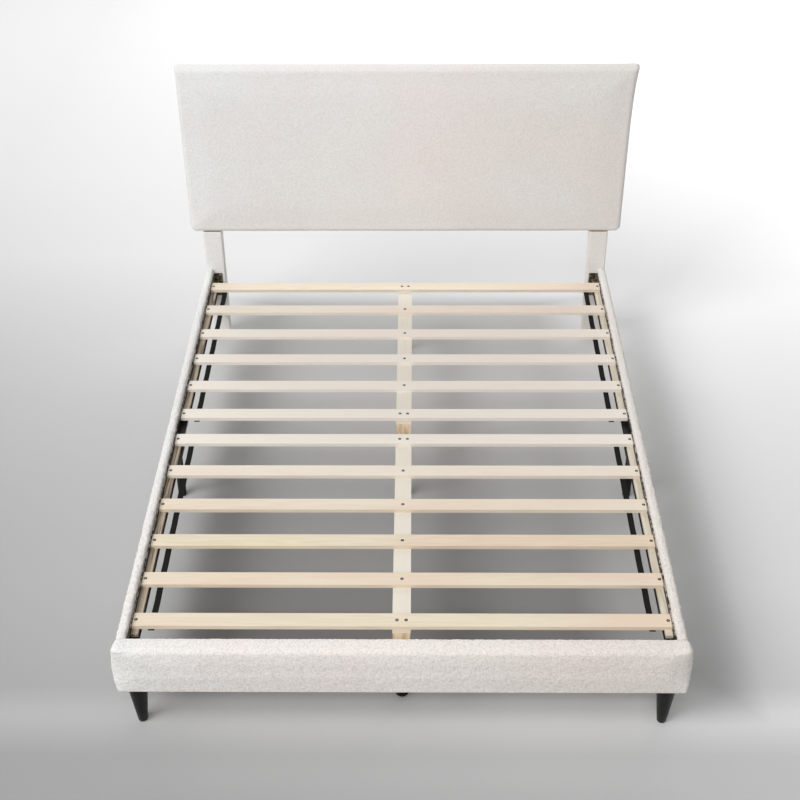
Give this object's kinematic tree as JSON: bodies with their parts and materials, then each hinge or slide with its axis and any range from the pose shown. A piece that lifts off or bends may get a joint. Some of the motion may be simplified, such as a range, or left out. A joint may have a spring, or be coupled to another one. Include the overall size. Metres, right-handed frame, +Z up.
{
  "type": "upholstered headboard bed",
  "caption": "Low platform bed with a padded boucle headboard on two posts, padded rails, wooden slats on a centre beam, and black tapered legs.",
  "frame": {"origin": "on the floor, under the middle of the bed's outline", "axes": "+Z up, +Y from the foot to the headboard, +X to the right seen from the foot"},
  "size_m": [1.688, 2.15, 1.171],
  "materials": {
    "boucle": "nubby off-white boucle, matt",
    "lining": "plain woven off-white lining cloth",
    "slat_wood": "pale planed poplar, unfinished",
    "beam_wood": "planed pine, slightly darker",
    "ledge_wood": "plywood strip, brown",
    "frame_wood": "raw board, hidden under the cloth",
    "black_steel": "satin black powder coat",
    "leg_black": "turned wood, satin black lacquer",
    "webbing": "black woven webbing"
  },
  "bodies": {
    "root": {"headboard_pad": "boucle", "foot_rail_cover": "boucle", "post_cover_left": "boucle", "post_cover_right": "boucle", "side_rail_cover_foot_left": "boucle", "side_rail_cover_foot_right": "boucle", "side_rail_cover_head_left": "boucle", "side_rail_cover_head_right": "boucle", "headboard_lining": "lining", "slat_01": "slat_wood", "slat_02": "slat_wood", "slat_03": "slat_wood", "slat_04": "slat_wood", "slat_05": "slat_wood", "slat_06": "slat_wood", "slat_07": "slat_wood", "slat_08": "slat_wood", "slat_09": "slat_wood", "slat_10": "slat_wood", "slat_11": "slat_wood", "slat_12": "slat_wood", "centre_strip_foot": "slat_wood", "centre_strip_head": "slat_wood", "centre_beam_foot": "beam_wood", "centre_beam_head": "beam_wood", "ledge_strip_foot_left": "ledge_wood", "ledge_strip_foot_right": "ledge_wood", "ledge_strip_head_left": "ledge_wood", "ledge_strip_head_right": "ledge_wood", "headboard_board": "frame_wood", "headboard_frame": "frame_wood", "foot_rail_board": "frame_wood", "headboard_post_left": "frame_wood", "headboard_post_right": "frame_wood", "side_rail_board_foot_left": "frame_wood", "side_rail_board_foot_right": "frame_wood", "side_rail_board_head_left": "frame_wood", "side_rail_board_head_right": "frame_wood", "beam_hanger": "black_steel", "ledge_angle_foot_left": "black_steel", "ledge_angle_foot_right": "black_steel", "ledge_angle_head_left": "black_steel", "ledge_angle_head_right": "black_steel", "corner_bracket_left": "black_steel", "corner_bracket_right": "black_steel", "post_bracket_left": "black_steel", "post_bracket_right": "black_steel", "rail_joint_plate_left": "black_steel", "rail_joint_plate_right": "black_steel", "front_leg_left": "leg_black", "front_leg_right": "leg_black", "middle_leg_left": "leg_black", "middle_leg_right": "leg_black", "centre_leg_foot": "leg_black", "centre_leg_middle": "leg_black", "centre_leg_head": "leg_black", "slat_strap_foot_left": "webbing", "slat_strap_foot_right": "webbing", "slat_strap_head_left": "webbing", "slat_strap_head_right": "webbing"}
  },
  "joints": []
}
